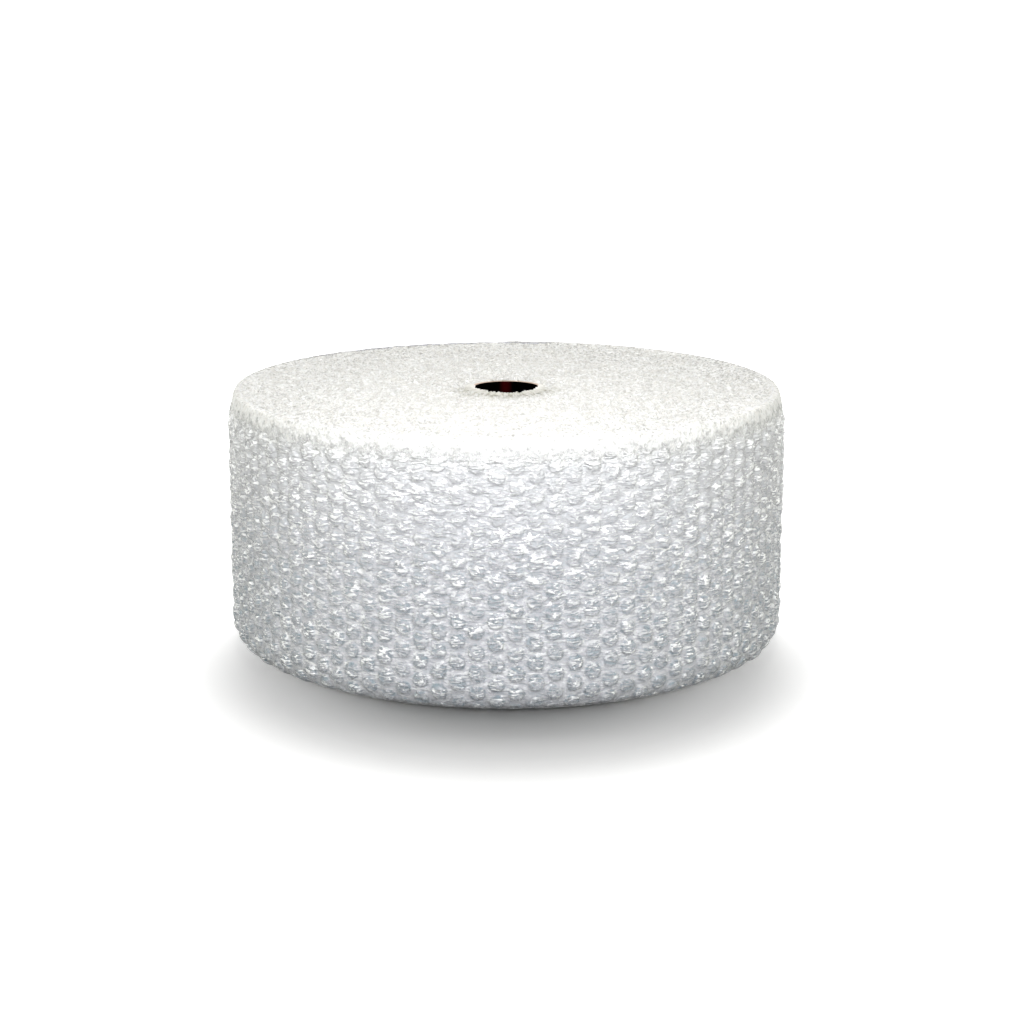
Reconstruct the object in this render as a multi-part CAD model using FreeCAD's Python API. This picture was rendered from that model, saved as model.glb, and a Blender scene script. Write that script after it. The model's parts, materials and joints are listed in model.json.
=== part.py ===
import FreeCAD, Part
import math
import os

# A roll of bubble film standing on one end. The film is wound in tight turns on a cardboard tube,
# with its bubbles facing outwards. +Z runs up the tube's axis, and the origin is on that axis in
# the plane that the roll stands on. The loose end of the film is at the back, on +Y. Millimetres.

# The roll as a whole
roll_diameter = 650.0        # over the crowns of the outermost bubbles
film_width = 300.0           # from one slit edge of the film to the other, so the roll's height
turn_thickness = 7.4         # one wound turn: the flat film and the squashed bubbles on it
tail_angle = 90.0            # degrees from +X to where the outermost turn ends
tail_run = 75.0              # degrees over which the turn below the tail rises to full size

# The cardboard tube
tube_bore = 76.0
tube_wall = 5.0
tube_recess = 0.5            # how far the tube's top end sits below the film's slit edge
winding_clearance = 0.2      # between the tube and the innermost turn

# The bubbles: straight rows from end to end of the roll, each row shifted half a pitch
bubble_pitch = 22.7          # along a row
row_spacing = 20.83          # round the roll, from one row to the next
bubble_relief = 4.5          # crown of a bubble above the film between bubbles
cut_bubble_relief = 1.5      # the same for a bubble that the knife has halved, which has sunk
least_slit_margin = 2.0      # plain film left beyond the first and the last level of bubbles

# The soft shoulders where the outer turns give way at the two ends
top_shoulder_inset = 8.0
top_shoulder_height = 36.0
bottom_shoulder_inset = 28.0
bottom_shoulder_height = 36.0

# The edges of the turns, which stand on both ends as ribs: one groove for every few turns
top_turns_per_groove = 3
bottom_turns_per_groove = 6  # this end is hidden, and is what the roll stands on
groove_width = 9.0
groove_depth = 3.0
groove_sides = 24
least_land = 2.0             # flat end left between a groove and the rim

roll_radius = roll_diameter / 2
tube_outer_radius = tube_bore / 2 + tube_wall
film_bore_radius = tube_outer_radius + winding_clearance
tube_length = film_width - tube_recess

bubbles_in_row = int((film_width - 2 * least_slit_margin) // bubble_pitch)
slit_margin = (film_width - bubbles_in_row * bubble_pitch) / 2
last_level = 2 * bubbles_in_row      # a level is half a bubble pitch
row_count = 2 * round(math.pi * roll_diameter / row_spacing / 2)
row_angle = 2 * math.pi / row_count
fitted_spacing = roll_radius * row_angle
# Half the straight edge where two bubbles of one row meet, as an angle
meeting_half_angle = (fitted_spacing / 2 - bubble_pitch ** 2 / (8 * fitted_spacing)) / roll_radius


def point_at(radius, angle, height):
    """The point at a radius, at an angle on from the tail, and at a height."""
    turned = math.radians(tail_angle) + angle
    return FreeCAD.Vector(radius * math.cos(turned), radius * math.sin(turned), height)


def shoulder_inset(height):
    """How far the soft shoulders pull the surface in at a height: a quarter ellipse at each end."""
    inset = 0.0
    for depth, reach, distance in (
        (top_shoulder_inset, top_shoulder_height, film_width - height),
        (bottom_shoulder_inset, bottom_shoulder_height, height),
    ):
        if distance < reach:
            inset += depth * (1 - math.sqrt(1 - (1 - distance / reach) ** 2))
    return inset


def tail_inset(angle):
    """How far the surface lies below full size at an angle on from the tail: one turn at first."""
    share = min(angle / math.radians(tail_run), 1.0)
    return turn_thickness * (1 - share * share * (3 - 2 * share))


def surface_point(angle, height, below_crown):
    """A point of the outer surface, below_crown under the level of the bubbles' crowns."""
    radius = roll_radius - shoulder_inset(height) - tail_inset(angle) - below_crown
    return point_at(radius, angle, height)


def level_height(level):
    return slit_margin + level * bubble_pitch / 2


def has_crown(row, level):
    """Even rows have their crowns on odd levels, and odd rows on even ones."""
    return (row + level) % 2 == 1


def seam_angle(seam, level):
    """Where the seam between rows seam - 1 and seam is at a level: it zigzags round the bubbles.
    The first and the last seam are straight, because they are the two sides of the tail."""
    if seam in (0, row_count):
        return seam * row_angle
    if has_crown(seam, level):
        return (seam - 0.5) * row_angle + meeting_half_angle
    return (seam + 0.5) * row_angle - meeting_half_angle


def seam_point(seam, level):
    return surface_point(seam_angle(seam, level), level_height(level), bubble_relief)


def crown_angle(row):
    return (row + 0.5) * row_angle


def crown_drop(level):
    """How far a crown on a level lies below full size: only the halved bubbles have sunk."""
    return bubble_relief - cut_bubble_relief if level in (0, last_level) else 0.0


def bubble_outline(row, level):
    """The corners of the flat film round a bubble, anticlockwise from outside. Six corners close
    a whole bubble. The knife has halved a bubble on the first or last level, whose outline is open."""
    left, right = row, row + 1
    if level == 0:
        corners = [(right, 0), (right, 1), (left, 1), (left, 0)]
    elif level == last_level:
        corners = [(left, level), (left, level - 1), (right, level - 1), (right, level)]
    else:
        corners = [(left, level - 1), (right, level - 1), (right, level)]
        corners += [(right, level + 1), (left, level + 1), (left, level), (left, level - 1)]
    return [seam_point(seam, at) for seam, at in corners]


def bubble_triangles():
    """The bubbled surface: from every side of a bubble's outline a facet rises to its crown."""
    triangles = []
    for row in range(row_count):
        for level in range(last_level + 1):
            if has_crown(row, level):
                crown = surface_point(crown_angle(row), level_height(level), crown_drop(level))
                outline = bubble_outline(row, level)
                triangles += [(crown, a, b) for a, b in zip(outline, outline[1:])]
    return triangles


def rim_marks(level):
    """The edge of the bubbled surface at its first or last level, from one side of the tail round
    to the other, as angles and depths below the crowns. Halved bubbles stand out of it."""
    marks = [(seam_angle(0, level), bubble_relief)]
    for row in range(row_count):
        if has_crown(row, level):
            marks.append((crown_angle(row), crown_drop(level)))
        marks.append((seam_angle(row + 1, level), bubble_relief))
    return marks


def end_outline(level, height):
    """The outline of an end face, with a corner for each mark on the rim next to it."""
    return [surface_point(angle, height, bubble_relief) for angle, _ in rim_marks(level)]


def rim_outline(level):
    return [surface_point(angle, level_height(level), depth) for angle, depth in rim_marks(level)]


def strip_triangles(lower, upper):
    """Two triangles between each pair of neighbours on two outlines with as many corners."""
    triangles = []
    for number in range(len(lower) - 1):
        a, b = lower[number], lower[number + 1]
        c, d = upper[number + 1], upper[number]
        triangles += [(a, b, c), (a, c, d)]
    return triangles


def tail_triangles(bottom, top):
    """The step at the tail, from the end of the outermost turn down to the turn below it."""
    levels = range(last_level + 1)
    low_side = [bottom[0]] + [seam_point(0, level) for level in levels] + [top[0]]
    high_side = [bottom[-1]] + [seam_point(row_count, level) for level in levels] + [top[-1]]
    return strip_triangles(low_side, high_side)


def groove_radii(outline, turns_per_groove):
    """The radii of the grooves on an end face, outermost first, as far out as its rim leaves room."""
    rim_radius = min(math.hypot(corner.x, corner.y) for corner in outline)
    step = turns_per_groove * turn_thickness
    count = int((rim_radius - least_land - groove_width / 2 - film_bore_radius) // step)
    return [film_bore_radius + step * number for number in range(count, 0, -1)]


def ring_outline(radius, height):
    turn = 2 * math.pi / groove_sides
    return [point_at(radius, number * turn, height) for number in range(groove_sides)]


def closed_wire(corners):
    return Part.makePolygon(corners + [corners[0]])


def land_face(outer_wire, inner_wire):
    """A flat ring between two outlines."""
    return Part.makeFace([outer_wire, inner_wire], "Part::FaceMakerBullseye")


def end_faces(outline, height, inward, turns_per_groove):
    """One end of the roll: flat lands with grooves between them. inward is 1 or -1, the way
    along Z that a groove is sunk."""
    faces = []
    edge = closed_wire(outline)
    for radius in groove_radii(outline, turns_per_groove):
        outer = ring_outline(radius + groove_width / 2, height)
        floor = ring_outline(radius, height + inward * groove_depth)
        inner = ring_outline(radius - groove_width / 2, height)
        faces.append(land_face(edge, closed_wire(outer)))
        for number in range(groove_sides):
            following = (number + 1) % groove_sides
            for high, low in ((outer, floor), (floor, inner)):
                corners = [high[number], high[following], low[following], low[number]]
                faces.append(Part.Face(closed_wire(corners)))
        edge = closed_wire(inner)
    bore_centre = FreeCAD.Vector(0, 0, height)
    faces.append(land_face(edge, Part.Wire(Part.makeCircle(film_bore_radius, bore_centre))))
    return faces


def bore_face():
    tube = Part.makeCylinder(film_bore_radius, film_width)
    return next(face for face in tube.Faces if isinstance(face.Surface, Part.Cylinder))


def wound_film():
    """All the turns of film as one solid, from the tube out to the bubbles of the outermost turn."""
    bottom = end_outline(0, 0)
    top = end_outline(last_level, film_width)
    triangles = bubble_triangles()
    triangles += strip_triangles(bottom, rim_outline(0))
    triangles += strip_triangles(rim_outline(last_level), top)
    triangles += tail_triangles(bottom, top)
    faces = [Part.Face(closed_wire(list(corners))) for corners in triangles]
    faces += end_faces(bottom, 0, 1, bottom_turns_per_groove)
    faces += end_faces(top, film_width, -1, top_turns_per_groove)
    faces.append(bore_face())
    shell = Part.makeCompound(faces)
    shell.sewShape()
    solid = Part.Solid(shell.Shells[0])
    if solid.Volume < 0:
        solid.reverse()
    return solid


def cardboard_tube():
    outside = Part.makeCylinder(tube_outer_radius, tube_length)
    return outside.cut(Part.makeCylinder(tube_bore / 2, tube_length))


parts = {
    "bubble_film": wound_film(),
    "cardboard_tube": cardboard_tube(),
}
os.makedirs("parts", exist_ok=True)
for name, shape in parts.items():
    shape.exportStep(f"parts/{name}.step")
    print(name, "valid", shape.isValid(), "solids", len(shape.Solids), "faces", len(shape.Faces),
          "volume", round(shape.Volume), "mm3")
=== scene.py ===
"""A roll of bubble film on a cardboard tube, standing on one end on a pale floor.

The film is one web: a clear sheet with domes blown into it, backed by a flat sheet. It is wound
with its domes outwards. Three lengths matter all through the file. Along is how far a point lies
along the web from the tail, the loose end at the back. Up is how far it lies above the lower slit
edge. Rise is how far it stands out of the plain film. All are in metres.
"""
import json
import math

import bpy
import numpy as np
from bpy.props import FloatProperty, FloatVectorProperty, IntProperty, PointerProperty
from bpy.types import Operator, Panel, PropertyGroup
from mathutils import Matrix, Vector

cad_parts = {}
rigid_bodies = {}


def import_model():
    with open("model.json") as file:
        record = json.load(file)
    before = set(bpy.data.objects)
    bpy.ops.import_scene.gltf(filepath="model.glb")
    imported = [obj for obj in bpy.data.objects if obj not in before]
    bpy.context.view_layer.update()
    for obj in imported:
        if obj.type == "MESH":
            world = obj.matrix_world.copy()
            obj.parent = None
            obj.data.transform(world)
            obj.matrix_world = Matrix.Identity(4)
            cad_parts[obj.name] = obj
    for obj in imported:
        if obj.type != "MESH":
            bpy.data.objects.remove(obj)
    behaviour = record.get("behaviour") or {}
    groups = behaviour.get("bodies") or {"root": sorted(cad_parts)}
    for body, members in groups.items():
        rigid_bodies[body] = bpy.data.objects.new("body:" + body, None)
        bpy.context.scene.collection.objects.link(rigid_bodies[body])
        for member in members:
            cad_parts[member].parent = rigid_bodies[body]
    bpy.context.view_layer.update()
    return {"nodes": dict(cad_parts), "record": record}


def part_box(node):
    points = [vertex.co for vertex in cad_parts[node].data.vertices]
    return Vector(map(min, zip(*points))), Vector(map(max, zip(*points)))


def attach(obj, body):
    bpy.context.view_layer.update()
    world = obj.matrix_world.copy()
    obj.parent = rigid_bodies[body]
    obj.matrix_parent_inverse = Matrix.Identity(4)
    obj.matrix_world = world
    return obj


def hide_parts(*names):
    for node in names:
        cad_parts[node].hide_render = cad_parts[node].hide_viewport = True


bl_info = {
    "name": "Bubble film roll",
    "version": (1, 0, 0),
    "blender": (4, 5, 0),
    "location": "3D View > Sidebar > Bubble film",
    "description": "Dresses the solid model of a roll of bubble film",
    "category": "Add Mesh",
}

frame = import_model()

FILM_NODE = "bubble_film"
TUBE_NODE = "cardboard_tube"
BODY = "root"

FILM_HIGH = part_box(FILM_NODE)[1]
TUBE_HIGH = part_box(TUBE_NODE)[1]
BORE = next(mount for mount in frame["record"]["mounts"] if mount["name"] == "core_bore")
MILLIMETRE = 0.001
# How many rows of bubbles the outer turn goes on for under its own tail
ROWS_UNDER_TAIL = 3
# What the ends add to the seed, so that they draw other numbers than the outer turn
ENDS_SEED_STEP = 2


def length(name, description, default):
    """A property for a length in metres."""
    return FloatProperty(name=name, description=description, default=default, min=0.0,
                         precision=5, unit="LENGTH")


def colour(name, description, default):
    """A property for a linear colour."""
    return FloatVectorProperty(name=name, description=description, default=default, size=3,
                               min=0.0, max=1.0, subtype="COLOR")


class RollSizes(PropertyGroup):
    """The sizes of the web and of the roll that is wound from it."""

    roll_radius: length("Roll radius", "Over the crowns of the outermost bubbles", FILM_HIGH.x)
    film_width: length("Film width", "From slit edge to slit edge", FILM_HIGH.z)
    tube_radius: length("Tube radius", "Outside of the cardboard tube", TUBE_HIGH.x)
    turn_thickness: length("Turn thickness", "One wound turn", 7.4 * MILLIMETRE)
    tail_angle: FloatProperty(name="Tail angle", description="Where the outermost turn ends",
                              default=math.radians(90), subtype="ANGLE")
    tail_run: FloatProperty(name="Tail run", description="Over which the turn below rises",
                            default=math.radians(75), subtype="ANGLE")
    bubble_pitch: length("Bubble pitch", "Between bubbles of a row", 22.7 * MILLIMETRE)
    row_spacing: length("Row spacing", "Between rows of bubbles", 20.83 * MILLIMETRE)
    bubble_radius: length("Bubble radius", "Of the disc that a bubble covers", 9.3 * MILLIMETRE)
    bubble_relief: length("Bubble relief", "Of a bubble's crown", 4.5 * MILLIMETRE)
    film_lift: length("Film lift", "Of the whole outer turn, which is loose", 2.2 * MILLIMETRE)
    backing_depth: length("Backing depth", "Of the flat sheet behind the domes", 1.4 * MILLIMETRE)
    top_inset: length("Top shoulder inset", "Of the roll's upper edge", 8 * MILLIMETRE)
    bottom_inset: length("Bottom shoulder inset", "Of the roll's lower edge", 28 * MILLIMETRE)
    shoulder_height: length("Shoulder height", "Of both shoulders", 36 * MILLIMETRE)
    rim_rise: length("Rim rise", "Of the outer turns' slit edges above the others", 3.0 * MILLIMETRE)
    rim_width: length("Rim width", "Of the raised edges", 70 * MILLIMETRE)
    fray_height: length("Fray height", "Of the torn film on the upper shoulder", 34 * MILLIMETRE)
    end_drop: length("End drop", "Of the turns' slit edges below the film's width", 1.2 * MILLIMETRE)
    end_groove: length("End groove", "Between one turn's edge and the next", 1.2 * MILLIMETRE)
    end_relief: length("End relief", "Of the crumpled slit edges", 1.0 * MILLIMETRE)
    end_grain: length("End grain", "Of their finest unevenness", 0.9 * MILLIMETRE)
    collar_width: length("Collar width", "Of the film round the hole, outside the tube", 6 * MILLIMETRE)
    collar_height: length("Collar height", "Of the film round the hole", 1.6 * MILLIMETRE)
    collar_overhang: length("Collar overhang", "Of that film over the tube's end", 6 * MILLIMETRE)
    seed: IntProperty(name="Seed", description="Of every wrinkle and dent", default=7)


class RollColours(PropertyGroup):
    """The colours of the film, the cardboard and the floor."""

    film: colour("Film", "Of the clear outer film", (0.75, 0.755, 0.79))
    # Film in folds is a painted shade: it darkens the domes, the rings round their feet and the troughs of
    # the folds.
    film_painted_shade: colour("Film in folds", "Where the film folds or stands steep", (0.22, 0.30, 0.35))
    depth: colour("Depth", "Of the milky turns behind the clear film", (0.82, 0.82, 0.865))
    depth_dark: colour("Depth in shade", "Of the darker places there", (0.50, 0.54, 0.56))
    # Film on creases is partly the white of creased film and partly painted light: glints on the folds, and
    # lighter film towards the upper end and on the shoulders.
    film_white_and_painted_light: colour("Film on creases", "Where the film is creased white", (0.93, 0.94, 0.95))
    film_edge: colour("Film edges", "Of the turns' slit edges", (0.69, 0.675, 0.645))
    collar_shade: colour("Collar shade", "Of the pleats round the hole", (0.30, 0.29, 0.22))
    board: colour("Cardboard", "Of the tube's cut end", (0.52, 0.40, 0.33))
    # Cardboard inside is a painted shade: the bore is coloured near-black, where it lies in shade.
    bore_painted_shade: colour("Cardboard inside", "Of the dark bore", (0.0005, 0.0005, 0.0005))
    floor: colour("Floor", "Of the floor that the roll stands on", (0.60, 0.60, 0.60))


# The shape of the web

def smooth_step(share):
    """3s^2 - 2s^3 of a share held between 0 and 1."""
    share = np.clip(share, 0.0, 1.0)
    return share * share * (3 - 2 * share)


def waves(random, places, count, shortest, longest):
    """Slow unevenness, mostly between -1 and 1: the sum of count sine waves with random directions,
    random phases and wavelengths between shortest and longest, over the root of count."""
    total = 0.0
    for _ in range(count):
        wavelength = random.uniform(shortest, longest)
        heading = random.uniform(0, 2 * math.pi, size=len(places))
        phase = random.uniform(0, 2 * math.pi)
        along = sum(place * math.cos(turn) for place, turn in zip(places, heading))
        total = total + np.sin(2 * math.pi * along / wavelength + phase)
    return total / math.sqrt(count)


def shoulder(sizes, up):
    """How far both soft shoulders pull the film in: inset * (1 - sqrt(1 - (1 - d / height)^2))
    at each end, where d is the distance to that end, and 0 beyond the shoulder's height."""
    pulled = 0.0
    ends = ((sizes.top_inset, sizes.film_width - up), (sizes.bottom_inset, up))
    for inset, distance in ends:
        share = np.clip(1 - distance / sizes.shoulder_height, 0.0, 1.0)
        pulled = pulled + inset * (1 - np.sqrt(1 - share * share))
    return pulled


def slit_share(sizes, up):
    """1 at both slit edges and 0 away from them: a smooth step over the shoulder's height at the
    upper edge, where the film frays into a soft rim, and over a third of it at the lower edge."""
    top = smooth_step(1 - (sizes.film_width - up) / sizes.shoulder_height)
    bottom = smooth_step(1 - 3 * up / sizes.shoulder_height)
    return np.maximum(top, bottom)


def wound_place(sizes, along, up, rise):
    """Where a point of the outermost turn lies. Its radius is the plain film's, less the shoulders,
    less the step at the tail: one turn's thickness at along 0, smoothed away over the tail run.
    Its angle is along over the outermost crowns' radius. Towards the upper slit edge it is raised
    by the rim rise times the square of a smooth step over the shoulder's height."""
    angle = along / sizes.roll_radius
    step = sizes.turn_thickness * (1 - smooth_step(angle / sizes.tail_run))
    radius = sizes.roll_radius - sizes.bubble_relief - shoulder(sizes, up)
    radius = radius - step + rise
    bearing = sizes.tail_angle + angle
    near_edge = smooth_step(1 - (sizes.film_width - up) / sizes.shoulder_height)
    height = up + sizes.rim_rise * near_edge ** 2 + 0 * radius
    return np.stack([radius * np.cos(bearing), radius * np.sin(bearing), height], axis=-1)


class Web:
    """The lattice of bubbles on the web, fitted to a whole number of rows round the roll."""

    def __init__(self, sizes):
        self.pitch = sizes.bubble_pitch
        self.bubbles = int(sizes.film_width // self.pitch)
        self.margin = (sizes.film_width - self.bubbles * self.pitch) / 2
        self.rows = 2 * round(math.pi * sizes.roll_radius / sizes.row_spacing)
        self.spacing = 2 * math.pi * sizes.roll_radius / self.rows

    def centres(self, first_row, last_row):
        """Along and up of every bubble's centre: rows at every spacing, levels at every half
        pitch, and a bubble where row + level is odd."""
        row, level = np.meshgrid(np.arange(first_row, last_row), np.arange(2 * self.bubbles + 1),
                                 indexing="ij")
        taken = (row + level) % 2 == 1
        return ((row[taken] + 0.5) * self.spacing, self.margin + level[taken] * self.pitch / 2)

    def spokes(self):
        """The directions of a cell's corners and of the middles of its sides. The cell is the
        hexagon of points nearer to its own bubble than to any other."""
        slant = math.atan2(self.pitch / 2, self.spacing)
        half_side = self.spacing / 2 - self.pitch ** 2 / (8 * self.spacing)
        corner = math.atan2(self.pitch / 2, half_side)
        quarter = [0.0, slant, corner, math.pi / 2]
        half = quarter + [math.pi - turn for turn in reversed(quarter[1:3])]
        return np.array(half + [turn + math.pi for turn in half])

    def cell_reach(self, direction):
        """From a bubble's centre to its cell's side in a direction: the least of n^2 / 2(n.e)
        over the six neighbours n with n.e above 0, where e points in the direction."""
        nearly_none = 1e-9
        slanted = [(side * self.spacing, end * self.pitch / 2) for side in (1, -1) for end in (1, -1)]
        neighbours = np.array(slanted + [(0, self.pitch), (0, -self.pitch)])
        toward = neighbours @ np.stack([np.cos(direction), np.sin(direction)])
        half_square = (neighbours ** 2).sum(axis=1, keepdims=True) / 2
        reach = np.where(toward > nearly_none, half_square / np.maximum(toward, nearly_none), np.inf)
        return reach.min(axis=0)


# Meshes

def grid_faces(rows, columns, closed=False):
    """The quads of a grid of points, rows by columns. A closed grid's last column joins its
    first one."""
    row = np.arange(rows - 1)[:, None]
    column = np.arange(columns if closed else columns - 1)[None, :]
    following = (column + 1) % columns
    corners = [row * columns + column, row * columns + following,
               (row + 1) * columns + following, (row + 1) * columns + column]
    return np.stack(np.broadcast_arrays(*corners), axis=-1).reshape(-1, 4)


def weld(points, faces, values):
    """Merges points that fall into the same cell of a fine lattice, and drops faces of which two
    corners have merged."""
    lattice = 0.01 * MILLIMETRE
    key = np.round(points / lattice).astype(np.int64)
    _, kept, merged = np.unique(key, axis=0, return_index=True, return_inverse=True)
    merged = merged.reshape(-1)
    sound = []
    for group in faces:
        group = merged[group]
        ordered = np.sort(group, axis=1)
        sound.append(group[(np.diff(ordered, axis=1) > 0).all(axis=1)])
    return points[kept], sound, {name: value[kept] for name, value in values.items()}


def make_piece(name, points, faces, values, material, slot):
    """A smooth mesh of a surface, with its values as attributes, riding on the roll's body."""
    mesh = bpy.data.meshes.new(name)
    mesh.from_pydata(points.tolist(), [], [face for group in faces for face in group.tolist()])
    for label, value in values.items():
        kind = "FLOAT_VECTOR" if value.ndim == 2 else "FLOAT"
        attribute = mesh.attributes.new(label, kind, "POINT")
        attribute.data.foreach_set("vector" if value.ndim == 2 else "value",
                                   np.ascontiguousarray(value, np.float32).ravel())
    mesh.shade_smooth()
    mesh.validate()
    piece = bpy.data.objects.new(name, mesh)
    bpy.context.scene.collection.objects.link(piece)
    mesh.materials.append(material)
    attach(piece, BODY)
    return piece


def bubble_surface(sizes, first_row, last_row, end, random):
    """The film with its domes, for the rows from first_row to last_row, as points, faces and
    values. Each bubble is a centre, four rings at fixed shares of its radius, and its cell's
    outline, all on the same twelve spokes. Rise = relief * profile(ring) * fullness * tilt *
    jitter * (1 - fold) * cut, held between 0 and the relief, plus the lift of the loose turn. The
    profile is a squashed dome, fullness and tilt differ from bubble to bubble, jitter differs from
    point to point, a fold is a trough exp(-(d / width)^2) along the web, and cut sinks the bubbles
    that the knife has opened. At the slit edges fine waves take the place of the lift."""
    web = Web(sizes)
    ring_share = np.array([0.42, 0.74, 0.94, 1.0])
    ring_rise = np.array([0.94, 0.74, 0.32, 0.0])
    crown_rise = 1.0
    outline_share = 1.35
    centre_along, centre_up = web.centres(first_row, last_row)
    count = len(centre_along)
    spokes = web.spokes()
    reach = web.cell_reach(spokes)
    rings = sizes.bubble_radius * ring_share[:, None] * np.ones(len(spokes))
    rings = np.vstack([rings, reach])

    def spread(crown, ring_values):
        """One row per bubble: its centre's value, then ring after ring."""
        flat = np.asarray(ring_values).reshape(-1)
        return np.concatenate([[crown], flat])[None, :]

    away_along = spread(0.0, rings * np.cos(spokes))
    away_up = spread(0.0, rings * np.sin(spokes))
    profile = spread(crown_rise, np.append(ring_rise, 0.0)[:, None] * np.ones(len(spokes)))
    share = spread(0.0, np.append(ring_share, outline_share)[:, None] * np.ones(len(spokes)))

    def each(low, high):
        """One random number per bubble."""
        return random.uniform(low, high, size=(count, 1))

    fullness = each(0.60, 1.0)
    tip_heading, tip = each(0, 2 * math.pi), each(0.0, 0.14)
    away_tipped = away_along * np.cos(tip_heading) + away_up * np.sin(tip_heading)
    tilt = 1 + tip * away_tipped / sizes.bubble_radius
    fold_place, fold_slope, fold_depth = each(-6, 6) * MILLIMETRE, each(-0.35, 0.35), each(0.0, 0.42)
    fold_width = 2.6 * MILLIMETRE
    from_fold = away_up - fold_place - fold_slope * away_along
    fold = fold_depth * np.exp(-(from_fold / fold_width) ** 2)
    most_jitter = 0.12
    jitter = 1 + random.uniform(-most_jitter, most_jitter, size=(count, profile.shape[1]))

    along = centre_along[:, None] + away_along
    up = centre_up[:, None] + away_up
    still_margin = 12 * MILLIMETRE
    warp = 1.3 * MILLIMETRE * smooth_step(np.minimum(up, sizes.film_width - up) / still_margin)
    warp_along, warp_up = (
        warp * waves(random, (along, up), count=7, shortest=0.05, longest=0.14) for _ in range(2)
    )
    along, up = along + warp_along, up + warp_up
    sunk_share = 0.75
    cut = 1 - sunk_share * slit_share(sizes, centre_up[:, None])
    rise = sizes.bubble_relief * profile * fullness * tilt * jitter * (1 - fold) * cut

    along = np.minimum(along, end)
    up = np.clip(up, 0.0, sizes.film_width)
    edge = slit_share(sizes, up)
    slack, ripple = 0.35 * MILLIMETRE, 0.5 * MILLIMETRE
    lift = sizes.film_lift + slack * waves(random, (along, up), count=7, shortest=0.05, longest=0.16)
    rise = np.clip(rise, 0.0, sizes.bubble_relief) + lift * (1 - edge)
    fine = waves(random, (along, up), count=9, shortest=0.008, longest=0.03)
    rise = rise + edge * ripple * (fine - 1)
    points = wound_place(sizes, along, up, rise).reshape(-1, 3)

    size = profile.shape[1]
    base = (np.arange(count) * size)[:, None]
    spoke = np.arange(len(spokes))
    following = (spoke + 1) % len(spokes)
    fan = np.stack([0 * spoke, 1 + spoke, 1 + following], axis=-1)
    bands = 1 + grid_faces(len(rings), len(spokes), closed=True)[:, ::-1]
    fans = (base[:, :, None] + fan[None]).reshape(-1, 3)
    quads = (base[:, :, None] + bands[None]).reshape(-1, 4)
    values = {
        "web": np.stack([along, up, 0 * up], axis=-1).reshape(-1, 3),
        "disc": np.broadcast_to(share, (count, size)).reshape(-1),
        "edge": edge.reshape(-1),
    }
    return weld(points, [fans, quads], values)


# Shader maths

class Wire:
    """A node's output that plain arithmetic can be written on, one Math node per operator."""

    def __init__(self, shader, socket):
        self.shader = shader
        self.socket = socket

    def maths(self, operation, *values):
        return self.shader.add("Math", {"operation": operation}, dict(enumerate(values)))

    def __add__(self, other):
        return self.maths("ADD", self, other)

    __radd__ = __add__

    def __sub__(self, other):
        return self.maths("SUBTRACT", self, other)

    def __rsub__(self, other):
        return self.maths("SUBTRACT", other, self)

    def __mul__(self, other):
        return self.maths("MULTIPLY", self, other)

    __rmul__ = __mul__

    def __truediv__(self, other):
        return self.maths("DIVIDE", self, other)

    def __pow__(self, other):
        return self.maths("POWER", self, other)

    def __abs__(self):
        return self.maths("ABSOLUTE", self)

    def at_least(self, other):
        return self.maths("MAXIMUM", self, other)

    def at_most(self, other):
        return self.maths("MINIMUM", self, other)

    def step(self, low, high):
        """0 up to low, 1 from high on, and smooth between."""
        settings = {"interpolation_type": "SMOOTHSTEP"}
        return self.shader.add("MapRange", settings, {"Value": self, "From Min": low, "From Max": high})


class Shader:
    """A new material and the one method that adds a node to it."""

    def __init__(self, name, material=None):
        self.material = material or bpy.data.materials.new(name)
        self.material.use_nodes = True
        self.tree = self.material.node_tree
        self.tree.nodes.clear()

    def add(self, kind, settings=None, inputs=None, output=0):
        """Adds a node, sets its settings, then sets or links its sockets, and returns an output."""
        node = self.tree.nodes.new("ShaderNode" + kind)
        for name, setting in (settings or {}).items():
            setattr(node, name, setting)
        for name, value in (inputs or {}).items():
            if isinstance(value, Wire):
                self.tree.links.new(value.socket, node.inputs[name])
            else:
                node.inputs[name].default_value = value
        return Wire(self, node.outputs[output]) if node.outputs else None

    def outputs(self, wire, names):
        """Some outputs of the node that a wire comes from."""
        return [Wire(self, wire.socket.node.outputs[name]) for name in names]

    def attribute(self, name, output="Fac"):
        return self.add("Attribute", {"attribute_name": name}, output=output)

    def place(self):
        """The coordinates of a point of the surface: the roll's frame, in metres."""
        return self.add("TexCoord", output="Object")

    def distance(self, vector):
        return self.add("VectorMath", {"operation": "LENGTH"}, {0: vector}, output="Value")

    def scaled(self, vector, factors):
        return self.add("VectorMath", {"operation": "MULTIPLY"}, {0: vector, 1: factors})

    def shifted(self, vector, offset):
        return self.add("VectorMath", {"operation": "ADD"}, {0: vector, 1: offset})

    def noise(self, vector, scale, detail=2.0, roughness=0.5, distortion=0.0):
        inputs = {"Vector": vector, "Scale": scale, "Detail": detail, "Roughness": roughness,
                  "Distortion": distortion}
        return self.add("TexNoise", None, inputs)

    def mix(self, low, high, factor):
        """A colour between low and high."""
        low, high = (shade if isinstance(shade, Wire) else (*shade, 1.0) for shade in (low, high))
        return self.add("Mix", {"data_type": "RGBA"}, {"Factor": factor, 6: low, 7: high}, output=2)

    def bump(self, height, distance):
        return self.add("Bump", None, {"Strength": 1.0, "Distance": distance, "Height": height})

    def end(self, surface):
        self.add("OutputMaterial", None, {"Surface": surface})
        return self.material


def ridges(wave, sharpness):
    """Sharp creases where a noise crosses its middle: (1 - |2n - 1|)^sharpness."""
    return (1 - abs(wave * 2 - 1)) ** sharpness


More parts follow.
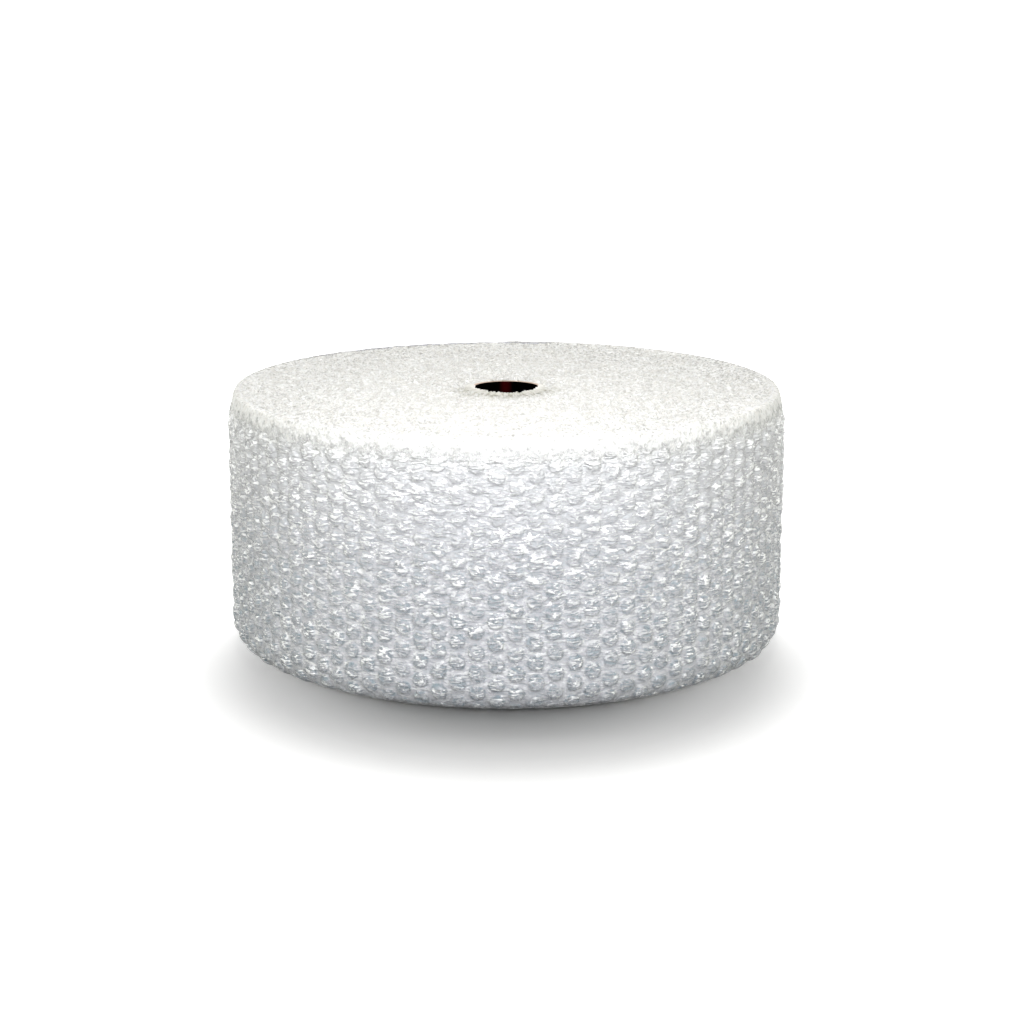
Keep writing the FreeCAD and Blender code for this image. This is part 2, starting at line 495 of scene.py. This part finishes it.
def slit_grain(shader, colours):
    """The crumpled film along the slit edges: fine light squiggles and dark specks on off-white,
    with more specks between the outer turns, towards the rim, so that the end is darker there. Gives
    its colour and its height."""
    place = shader.place()
    loose = shader.distance(shader.scaled(place, (1.0, 1.0, 0.0))).step(0.13, 0.31)
    squiggles = ridges(shader.noise(place, scale=125.0, detail=1.0, distortion=0.6), sharpness=5.0)
    specks = shader.noise(place, scale=290.0, detail=2.0, roughness=0.6)
    patches = shader.noise(place, scale=32.0, detail=1.0)
    # The end is darkened with more specks towards its outer rim.
    dark = specks.step(0.47, 0.64) * (0.40 + 0.60 * loose) + patches.step(0.45, 0.75) * 0.15
    shade_of_edge = 0.52
    shaded = [shade_of_edge * part for part in colours.film_edge]
    base = shader.mix(colours.film_edge, shaded, dark.at_most(1.0))
    colour = shader.mix(base, colours.film_white_and_painted_light, squiggles * 0.70)
    return colour, squiggles * 0.6 - specks


def dome_material(name, colours):
    """Clear soft film with domes. A painted shade makes a dome darker than the plain film, and darkest
    in patches round its foot, more so towards the lower end. Folds of a few millimetres run along the
    web, with painted shade in their troughs and sharp white painted glints on their crests. Towards
    the upper end a painted light makes the film whiter, and the film covers more."""
    shader = Shader(name)
    web = shader.attribute("web", "Vector")
    disc = shader.attribute("disc")
    edge = shader.attribute("edge")
    up = shader.add("SeparateXYZ", None, {0: web}, output="Y")
    on_dome = 1 - disc.step(0.80, 1.06)
    foot = disc.step(0.72, 0.93) * (1 - disc.step(1.0, 1.14)) * (1 - edge)
    # A painted light: the film grows whiter towards the upper end.
    painted_top_light = up.step(0.12, 0.27)
    low = 1 - up.step(0.03, 0.21)
    long = shader.noise(shader.scaled(web, (1.0, 3.2, 1.0)), scale=82.0, detail=0.0, distortion=1.4)
    short = shader.noise(shader.scaled(web, (1.0, 1.5, 1.0)), scale=190.0, detail=1.0, distortion=1.0)
    patchy = shader.noise(web, scale=48.0, detail=1.0)
    folds = ridges(long, sharpness=10.0)
    folded = long + short * 0.6
    crumple = 0.85 + 0.15 * on_dome - 0.28 * low * (1 - on_dome)
    grain_colour, grain = slit_grain(shader, colours)
    # A painted light: the slit-edge grain is lightened halfway towards white near the slit edges.
    rim_colour = shader.mix(grain_colour, colours.film_white_and_painted_light, 0.50)
    height = (long + short * 0.55 + folds * 0.25) * crumple + grain * edge * 0.5
    # Painted glints: sharp white streaks on the crests of the folds.
    painted_glint = folded.step(0.88, 0.92) * crumple * (0.45 + 0.55 * patchy.step(0.40, 0.55))
    # Painted shade in the troughs of the folds.
    painted_fold_shade = (1 - folded.step(0.64, 0.74)) * crumple
    # Painted shade on the domes and round their feet, stronger towards the lower end, with the fold shade,
    # all thinned towards the upper end.
    dark = on_dome * (0.06 + 0.22 * low) + foot * patchy.step(0.44, 0.60) * (0.12 + 0.38 * low)
    dark = (dark + painted_fold_shade * 0.66) * (1 - 0.50 * painted_top_light)
    base = shader.mix(colours.film, colours.film_painted_shade, dark.at_most(1.0))
    # The painted glints and the painted light towards the upper end lift the colour towards white.
    light = (painted_glint + painted_top_light * 0.50 + up.step(0.20, 0.28) * 0.25).at_most(1.0)
    base = shader.mix(base, colours.film_white_and_painted_light, light)
    film = shader.add("BsdfPrincipled", None, {
        "Base Color": shader.mix(base, rim_colour, edge),
        "Roughness": 0.08 + 0.10 * patchy + 0.3 * edge,
        "IOR": 1.7,
        "Specular IOR Level": 1.0,
        "Alpha": (0.42 + 0.20 * dark + 0.50 * painted_glint + 0.10 * painted_top_light + edge * 0.6).at_most(1.0),
        "Normal": shader.bump(height, 4.0 * MILLIMETRE),
    })
    return shader.end(film)


def backing_material(name, colours):
    """The milky depth behind the clear domes: the outer turn's flat sheet and all the turns below
    it, with soft clouds and faint wrinkles along the web."""
    shader = Shader(name)
    web = shader.attribute("web", "Vector")
    up = shader.add("SeparateXYZ", None, {0: web}, output="Y")
    clouds = shader.noise(web, scale=60.0, detail=2.0)
    stretched = shader.scaled(web, (1.0, 3.0, 1.0))
    wrinkles = shader.noise(stretched, scale=130.0, detail=1.0, distortion=1.0)
    # Clouds of tone, and painted shade in the valleys of the wrinkles.
    shade = clouds.step(0.40, 0.70) * 0.30 + (1 - wrinkles.step(0.34, 0.56)) * 0.55
    # A painted light: the painted shade thins towards the upper end.
    shade = shade * (1 - 0.6 * up.step(0.12, 0.27))
    film = shader.add("BsdfPrincipled", None, {
        "Base Color": shader.mix(colours.depth, colours.depth_dark, shade),
        "Roughness": 0.5,
        "Specular IOR Level": 0.3,
        "Normal": shader.bump(wrinkles + clouds * 0.5, 1.5 * MILLIMETRE),
    })
    return shader.end(film)


def hole_pleats(shader):
    """Radius from the roll's axis, and pleats of film that run in towards the hole, at its front."""
    across, back = shader.outputs(shader.add("SeparateXYZ", None, {0: shader.place()}), "XY")
    radius = (across * across + back * back) ** 0.5
    bearing = across.maths("ARCTAN2", back, across)
    spread = shader.add("CombineXYZ", None, {0: bearing, 1: radius * 6.0, 2: 0.0})
    lines = shader.noise(spread, scale=11.0, detail=1.0).step(0.46, 0.64)
    front = 1 - back.step(-25 * MILLIMETRE, 15 * MILLIMETRE)
    return radius, (0.30 + 0.70 * lines) * front


def edge_material(name, colours):
    """The slit edges of the turns. Fade is 0 on the end itself and grows down the shoulder, where
    the torn film ends in patches. Round the hole the film is pleated and shaded olive-grey."""
    shader = Shader(name)
    fade = shader.attribute("fade")
    tatters = shader.noise(shader.place(), scale=95.0, detail=3.0, roughness=0.7)
    torn = fade * 1.5 + (tatters * 1.6 - 0.8) * fade.step(0.0, 0.25)
    grain_colour, grain = slit_grain(shader, colours)
    radius, pleats = hole_pleats(shader)
    shade = pleats * (1 - radius.step(46 * MILLIMETRE, 78 * MILLIMETRE)) * 0.85
    # A painted light: the torn film is lightened towards white down the shoulder, where less light falls on
    # it.
    base = shader.mix(grain_colour, colours.film_white_and_painted_light, (fade * 1.6).at_most(0.55))
    film = shader.add("BsdfPrincipled", None, {
        "Base Color": shader.mix(base, colours.collar_shade, shade),
        "Roughness": 0.45,
        "IOR": 1.5,
        "Specular IOR Level": 0.35,
        "Alpha": 1 - torn.step(0.25, 1.05),
        "Normal": shader.bump(grain, 1.2 * MILLIMETRE),
    })
    return shader.end(film)


def collar_material(name, colours):
    """The film round the hole: olive-grey and darkened by a painted shade where it is pleated, and white on
    its torn edge.
    """
    shader = Shader(name)
    radius, pleats = hole_pleats(shader)
    shade = pleats * radius.step(37 * MILLIMETRE, 41 * MILLIMETRE) * 0.75
    film = shader.add("BsdfPrincipled", None, {
        "Base Color": shader.mix(colours.film_edge, colours.collar_shade, shade),
        "Roughness": 0.4,
        "IOR": 1.5,
        "Specular IOR Level": 0.35,
        "Normal": shader.bump(pleats, 1.0 * MILLIMETRE),
    })
    return shader.end(film)


def board_material(name, colours, bore_radius):
    """Spiral-wound brown board: fibrous and tan on its cut end. Inside the bore a painted shade makes
    it almost black, with a dark red patch at its back. The seam of the innermost ply runs up the bore
    in a spiral."""
    shader = Shader(name)
    place = shader.place()
    across, back, up = shader.outputs(shader.add("SeparateXYZ", None, {0: place}), "XYZ")
    radius = (across * across + back * back) ** 0.5
    bearing = across.maths("ARCTAN2", back, across)
    inside = 1 - radius.step(bore_radius + 0.3 * MILLIMETRE, bore_radius + 1.2 * MILLIMETRE)
    stretched = shader.scaled(place, (1.0, 1.0, 4.0))
    fibres = shader.noise(stretched, scale=240.0, detail=4.0, roughness=0.6)
    plies_per_metre, seams_per_metre = 900, 11
    # Any whole number of turns that keeps the seam's turn above zero
    turns_on = 10
    ply = radius * plies_per_metre
    plies = ridges(ply.maths("FRACT", ply), sharpness=2.0)
    seam_turn = bearing / (2 * math.pi) + up * seams_per_metre + turns_on
    seam = ridges(seam_turn.maths("FRACT", seam_turn), sharpness=60.0)
    worn_share = 1.35
    worn = [worn_share * part for part in colours.board]
    end_colour = shader.mix(colours.board, worn, fibres * 0.6 + plies * 0.4)
    red_patch = 1 - abs(across + 1 * MILLIMETRE).step(1 * MILLIMETRE, 9 * MILLIMETRE)
    red_patch = red_patch * back.step(0.0, 20 * MILLIMETRE)
    # The bore's near-black is a painted shade. A dark red patch lies on its back wall, behind the axis.
    dark_red = (0.025, 0.001, 0.0015)
    bore_colour = shader.mix(colours.bore_painted_shade, dark_red, red_patch)
    board = shader.add("BsdfPrincipled", None, {
        "Base Color": shader.mix(end_colour, bore_colour, inside),
        "Roughness": 0.9,
        "Specular IOR Level": 0.0,
        "Normal": shader.bump(fibres + seam * 0.5, 0.5 * MILLIMETRE),
    })
    return shader.end(board)


# The pieces

class RollOperator(Operator):
    """What the operators for the pieces have in common."""

    bl_options = {"REGISTER", "UNDO"}

    @property
    def sizes(self):
        return bpy.context.scene.roll_sizes

    @property
    def colours(self):
        return bpy.context.scene.roll_colours


class ROLL_OT_outer_turn(RollOperator):
    """Make the outermost turn of film, from under the tail once round to the tail"""

    bl_idname = "roll.outer_turn"
    bl_label = "Outer turn"

    def execute(self, context):
        web = Web(self.sizes)
        end = 2 * math.pi * self.sizes.roll_radius
        random = np.random.default_rng(self.sizes.seed)
        surface = bubble_surface(self.sizes, -ROWS_UNDER_TAIL, web.rows, end, random)
        material = dome_material("clear_domes", self.colours)
        piece = make_piece("outer_turn", *surface, material, FILM_NODE)
        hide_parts(FILM_NODE)
        return {"FINISHED"}


class ROLL_OT_backing(RollOperator):
    """Make the flat backing sheet of the outermost turn, which stands for the turns behind it too"""

    bl_idname = "roll.backing"
    bl_label = "Backing sheet"

    def execute(self, context):
        """The web's surface on a grid of along and up, at a rise of -depth. Up = width * (1 - cos
        t) / 2, so its rows lie closer together towards both slit edges."""
        sizes = self.sizes
        rows, columns = 50, 300
        end = 2 * math.pi * sizes.roll_radius
        start = -ROWS_UNDER_TAIL * Web(sizes).spacing
        along = np.linspace(start, end, columns)[None, :]
        up = sizes.film_width * (1 - np.cos(np.linspace(0, math.pi, rows)))[:, None] / 2
        along, up = np.broadcast_arrays(along, up)
        points = wound_place(sizes, along, up, -sizes.backing_depth)
        values = {"web": np.stack([along, up, 0 * up], axis=-1).reshape(-1, 3)}
        faces = grid_faces(*along.shape)
        material = backing_material("milky_backing", self.colours)
        piece = make_piece("backing_sheet", points.reshape(-1, 3), [faces], values, material, FILM_NODE)
        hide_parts(FILM_NODE)
        return {"FINISHED"}


class ROLL_OT_roll_ends(RollOperator):
    """Make both ends, where the slit edges of all the turns lie side by side"""

    bl_idname = "roll.roll_ends"
    bl_label = "Roll ends"

    def rim(self, upper):
        """The radius of the outer turn's slit edge at one end."""
        inset = self.sizes.top_inset if upper else self.sizes.bottom_inset
        return self.sizes.roll_radius - self.sizes.bubble_relief - inset

    def crumple(self, across, back, radius, random):
        """How far the slit edges stand above or sink below the plain end: relief * (waves of 5.5
        to 13 mm + half the waves of 30 to 90 mm), faded out at the tube."""
        places = (across, back)
        fine = waves(random, places, count=14, shortest=5.5 * MILLIMETRE, longest=13 * MILLIMETRE)
        broad = waves(random, places, count=8, shortest=30 * MILLIMETRE, longest=90 * MILLIMETRE)
        fading = 4 * MILLIMETRE
        held = smooth_step((radius - self.sizes.tube_radius) / fading)
        return self.sizes.end_relief * (fine + broad / 2) * held

    def end(self, name, material, upper, random):
        """A spiral band for every turn, four points across: its outer side, two points on its
        crest and its inner side, which is the outer side of the next turn. Radius = rim - pitch *
        (turn + 1 - smooth step(angle / tail run)), so a turn keeps its radius until it comes to
        the tail's bearing and goes down by one pitch there. The sides lie a groove below the
        crest, and every point is thrown by up to a grain. All of this fades out at the rim, as the
        crumples do. The upper end is raised by the rim rise towards its rim, and the fray goes on
        from there."""
        sizes = self.sizes
        rim = self.rim(upper)
        core = sizes.tube_radius + 0.3 * MILLIMETRE
        core_fading, rim_fading = 3 * MILLIMETRE, 6 * MILLIMETRE
        share_across = np.array([0.0, 0.3, 0.65])[:, None]
        groove_share = np.array([1.0, 0.0, 0.2])[:, None]
        columns = 720
        turns = round((rim - core) / sizes.turn_thickness)
        pitch = (rim - core) / turns
        covered = np.arange((turns + 1) * columns + 1) / columns
        turn = np.floor(covered)
        angle = (turn + 1 - covered) * 2 * math.pi
        outer = rim - pitch * (turn + 1 - smooth_step(angle / sizes.tail_run))
        bearing = sizes.tail_angle - covered * 2 * math.pi
        radius = np.maximum(outer - share_across * pitch, core)
        across, back = radius * np.cos(bearing), radius * np.sin(bearing)
        thrown = random.uniform(-1, 1, size=radius.shape) * sizes.end_grain
        off_core = smooth_step((radius - core) / core_fading)
        off_rim = smooth_step((rim - radius) / rim_fading)
        drop = (groove_share * sizes.end_groove + thrown) * off_core * off_rim
        drop = drop - self.crumple(across, back, radius, random) * off_rim
        drop = np.maximum(drop + sizes.end_drop * off_rim, 0.0)
        if upper:
            drop = drop - sizes.rim_rise * smooth_step(1 - (rim - radius) / sizes.rim_width)
        up = sizes.film_width - drop if upper else drop
        band = np.stack([across, back, up], axis=-1)
        count = turns * columns + 1
        following = band[0, columns:columns + count]
        points = np.concatenate([band[:, :count], following[None]]).reshape(-1, 3)
        groups = [grid_faces(4, count)]
        fade = np.zeros(len(points))
        if upper:
            groups[0] = groups[0][:, ::-1]
            fray, depth = self.fray(band[0, :columns + 1], angle[:columns + 1], random)
            groups.append(grid_faces(*depth.shape) + len(points))
            points = np.concatenate([points, fray.reshape(-1, 3)])
            fade = np.append(fade, depth.reshape(-1) / sizes.fray_height)
        points, groups, values = weld(points, groups, {"fade": fade})
        piece = make_piece(name, points, groups, values, material, FILM_NODE)
        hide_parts(FILM_NODE)

    def fray(self, outermost, angle, random):
        """The torn and crumpled film that runs from the outermost slit edge down over the shoulder,
        as points and their depths below the edge. It follows the outermost turn at a rise of
        2.8 mm + 0.4 mm * depth / fray height + grains."""
        sizes = self.sizes
        along = sizes.roll_radius * angle[None, :]
        rows, crowding = 16, 1.3
        share = np.linspace(0, 1, rows)[:, None] ** crowding
        grains = random.uniform(-0.5, 0.5, size=(rows, along.shape[1])) * sizes.end_grain
        grains[:, -1] = grains[:, 0]
        rise_at_edge, more_below = 2.8, 0.4
        rise = (rise_at_edge + more_below * share) * MILLIMETRE + grains
        along, depth = np.broadcast_arrays(along, share * sizes.fray_height)
        points = wound_place(sizes, along, sizes.film_width - depth, rise)
        points[0] = outermost
        return points, depth

    def collar(self, name, material, random):
        """The ragged film that leans in over the tube's end. On eight rings it goes in from tube
        radius + collar width to tube radius - overhang, and rises in between. Turned is the angle
        from the front. The overhang is none at the back, most at 52 degrees from the front, and
        frayed by waves of 3 to 14 mm. Pleats of 2.5 to 6 mm run in towards the hole."""
        sizes = self.sizes
        columns, rings = 420, 8
        bearing = np.linspace(0, 2 * math.pi, columns, endpoint=False)
        turned = np.abs(np.angle(np.exp(1j * (bearing + math.pi / 2))))
        ring = sizes.tube_radius
        places = (ring * np.cos(bearing), ring * np.sin(bearing))
        frayed = waves(random, places, count=12, shortest=3 * MILLIMETRE, longest=14 * MILLIMETRE)
        corner = np.exp(-((turned - math.radians(52)) / math.radians(26)) ** 2)
        overhang = sizes.collar_overhang + 2.0 * MILLIMETRE * corner + 0.7 * MILLIMETRE * frayed
        overhang = overhang * smooth_step((math.radians(125) - turned) / math.radians(35))
        pleats = waves(random, places, count=14, shortest=2.5 * MILLIMETRE, longest=6 * MILLIMETRE)
        pleats = pleats * 0.6 * MILLIMETRE
        lean = np.linspace(0, 1, rings)[:, None]
        out = ring + sizes.collar_width - (sizes.collar_width + overhang) * lean
        lift = sizes.collar_height * np.sin(math.pi * lean * 0.8)
        lift = lift * (0.4 + 0.6 * smooth_step((math.radians(135) - turned) / math.radians(60)))
        drop = sizes.end_drop - lift + pleats * (0.15 + 1.8 * lean ** 2)
        up = sizes.film_width - drop
        points = np.stack([out * np.cos(bearing), out * np.sin(bearing), up + 0 * out], axis=-1)
        faces = grid_faces(*out.shape, closed=True)
        piece = make_piece(name, points.reshape(-1, 3), [faces], {}, material, FILM_NODE)
        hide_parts(FILM_NODE)

    def execute(self, context):
        random = np.random.default_rng(self.sizes.seed + ENDS_SEED_STEP)
        edges = edge_material("slit_edges", self.colours)
        collar = collar_material("hole_film", self.colours)
        self.end("top_end", edges, True, random)
        self.end("bottom_end", edges, False, random)
        self.collar("hole_collar", collar, random)
        return {"FINISHED"}


class ROLL_OT_tube(RollOperator):
    """Give the cardboard tube its finish"""

    bl_idname = "roll.tube"
    bl_label = "Cardboard tube"

    def execute(self, context):
        tube = frame["nodes"][TUBE_NODE]
        bore_radius = BORE["dims"]["r_mm"] * MILLIMETRE
        tube.data.materials.clear()
        tube.data.materials.append(board_material("tube_board", self.colours, bore_radius))
        return {"FINISHED"}


class ROLL_OT_stage(RollOperator):
    """Make the floor, the background, the lamps and the camera"""

    bl_idname = "roll.stage"
    bl_label = "Stage"

    def lamp(self, name, place, target, size, power, tint):
        """A soft box that faces a target. Size is its width and height, and power is in watts."""
        data = bpy.data.lights.new(name, "AREA")
        data.shape = "RECTANGLE"
        data.size, data.size_y = size
        data.energy = power
        data.color = tint
        lamp = bpy.data.objects.new(name, data)
        lamp.visible_camera = False
        lamp.location = place
        toward = [there - here for there, here in zip(target, place)]
        lamp.rotation_euler = Vector(toward).to_track_quat("-Z", "Y").to_euler()
        bpy.context.scene.collection.objects.link(lamp)
        return lamp

    def roll_collection(self):
        """The roll's pieces, which the fill lamps light. They leave the floor to the key."""
        roll = bpy.data.collections.new("roll")
        for piece in bpy.context.scene.objects:
            if piece.type == "MESH" and piece.name != "floor":
                roll.objects.link(piece)
        return roll

    def floor(self):
        """A wide floor. To the camera it glows brighter away from the shadow, where it runs into the
        white background."""
        reach = 60.0
        corners = [(-reach, -reach, 0), (reach, -reach, 0), (reach, reach, 0), (-reach, reach, 0)]
        mesh = bpy.data.meshes.new("floor")
        mesh.from_pydata(corners, [], [(0, 1, 2, 3)])
        floor = bpy.data.objects.new("floor", mesh)
        bpy.context.scene.collection.objects.link(floor)
        shader = Shader("floor")
        from_shadow = shader.scaled(shader.shifted(shader.place(), (0.0, 0.16, 0.0)), (1.12, 1.0, 1.0))
        distance = shader.distance(from_shadow)
        seen = self.seen(shader)
        glow = 0.38 * distance.step(0.12, 0.32) + 0.46 * distance.step(0.29, 0.44)
        glow = glow + distance.step(0.42, 2.0)
        diffuse = shader.add("BsdfDiffuse", None, {"Color": (*self.colours.floor, 1.0)})
        emission = shader.add("Emission", None, {"Color": (1.0, 1.0, 1.0, 1.0), "Strength": seen * glow})
        mesh.materials.append(shader.end(shader.add("AddShader", None, {0: diffuse, 1: emission})))

    def seen(self, shader):
        """1 for rays that come from the camera or from a glossy or clear surface."""
        names = ("Is Camera Ray", "Is Glossy Ray", "Is Transmission Ray")
        camera, glossy, clear = shader.outputs(shader.add("LightPath"), names)
        return camera.at_least(glossy).at_least(clear)

    def world(self, ambient):
        """A white background that lights the roll and the floor at the ambient strength."""
        world = bpy.data.worlds.new("world")
        bpy.context.scene.world = world
        shader = Shader("world", world)
        strength = self.seen(shader) * (1 - ambient) + ambient
        tint = (0.97, 0.98, 0.94, 1.0)
        background = shader.add("Background", None, {"Color": tint, "Strength": strength})
        shader.add("OutputWorld", None, {"Surface": background})

    def camera(self):
        data = bpy.data.cameras.new("camera")
        data.sensor_width = 36.0
        data.lens = 84.8
        data.clip_end = 200.0
        camera = bpy.data.objects.new("camera", data)
        camera.location = (0.0, -2.753, 0.807)
        pitch = math.radians(13.28)
        yaw = math.radians(0.036)
        camera.rotation_euler = (math.pi / 2 - pitch, 0.0, yaw)
        bpy.context.scene.collection.objects.link(camera)
        bpy.context.scene.camera = camera

    def execute(self, context):
        self.floor()
        self.world(ambient=0.26)
        self.camera()
        middle, front_rim = (0.0, 0.0, 0.15), (0.0, -0.3, 0.3)
        white, warm, cool, yellow = (1.0, 1.0, 1.0), (1.0, 0.99, 0.97), (0.98, 0.985, 1.0), (1.0, 1.0, 0.84)
        self.lamp("key", (0.0, 2.2, 6.0), middle, size=(2.6, 2.6), power=172.0, tint=warm)
        roll = self.roll_collection()
        fills = (
            self.lamp("front", (0.0, -4.2, 1.0), middle, size=(1.4, 0.3), power=85.0, tint=cool),
            self.lamp("high_front", (0.0, -3.0, 3.6), middle, size=(1.0, 0.2), power=32.0, tint=white),
            self.lamp("upper_front", (0.0, -0.74, 0.82), front_rim, size=(0.3, 0.1), power=4.0, tint=white),
            self.lamp("left", (-2.6, -0.5, 0.45), middle, size=(0.3, 0.7), power=15.0, tint=yellow),
            self.lamp("right", (2.6, -0.5, 0.45), middle, size=(0.3, 0.7), power=15.0, tint=yellow),
            self.lamp("back_left", (-2.2, 3.0, 1.4), middle, size=(1.0, 0.5), power=9.0, tint=white),
            self.lamp("back_right", (2.2, 3.0, 1.4), middle, size=(1.0, 0.5), power=9.0, tint=white),
        )
        for fill in fills:
            fill.light_linking.receiver_collection = roll
        bpy.context.scene.view_settings.view_transform = "Standard"
        return {"FINISHED"}


class ROLL_PT_sidebar(Panel):
    """The roll's operators, sizes and colours"""

    bl_label = "Bubble film roll"
    bl_space_type = "VIEW_3D"
    bl_region_type = "UI"
    bl_category = "Bubble film"

    def draw(self, context):
        for operator in OPERATORS:
            self.layout.operator(operator.bl_idname)
        for group in (context.scene.roll_sizes, context.scene.roll_colours):
            box = self.layout.box()
            for name in group.__annotations__:
                box.prop(group, name)


OPERATORS = (
    ROLL_OT_outer_turn,
    ROLL_OT_backing,
    ROLL_OT_roll_ends,
    ROLL_OT_tube,
    ROLL_OT_stage,
)
CLASSES = (RollSizes, RollColours, *OPERATORS, ROLL_PT_sidebar)


def register():
    for cls in CLASSES:
        bpy.utils.register_class(cls)
    bpy.types.Scene.roll_sizes = PointerProperty(type=RollSizes)
    bpy.types.Scene.roll_colours = PointerProperty(type=RollColours)


def unregister():
    del bpy.types.Scene.roll_colours
    del bpy.types.Scene.roll_sizes
    for cls in reversed(CLASSES):
        bpy.utils.unregister_class(cls)


def main():
    register()
    bpy.ops.roll.outer_turn()
    bpy.ops.roll.backing()
    bpy.ops.roll.roll_ends()
    bpy.ops.roll.tube()
    bpy.ops.roll.stage()


if __name__ == "__main__":
    main()
